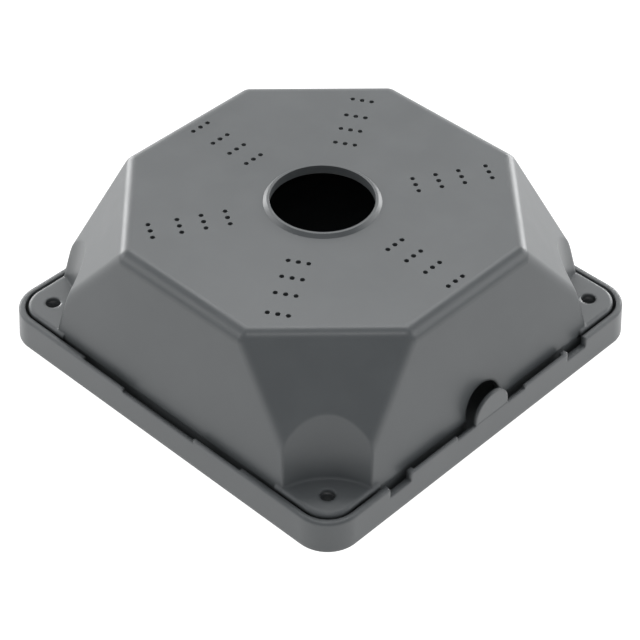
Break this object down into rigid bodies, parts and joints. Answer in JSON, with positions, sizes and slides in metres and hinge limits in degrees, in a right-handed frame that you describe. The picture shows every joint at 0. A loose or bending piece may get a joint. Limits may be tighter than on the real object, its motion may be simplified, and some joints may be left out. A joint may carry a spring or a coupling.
{
  "type": "mounting box",
  "caption": "Square surface mounting box with an octagonal hollow cover, centre cable hole, rings of camera screw holes and an arched side cable entry with a tab.",
  "frame": {"origin": "middle of the tray's underside, which goes against the ceiling or wall", "axes": "+Z out of the mounting surface through the centre hole, -Y towards the side with the cable tab"},
  "size_m": [0.1916, 0.1916, 0.0711],
  "materials": {
    "cover_plastic": "satin",
    "base_plastic": "satin"
  },
  "bodies": {
    "root": {"cover": "cover_plastic", "base": "base_plastic"}
  },
  "joints": []
}
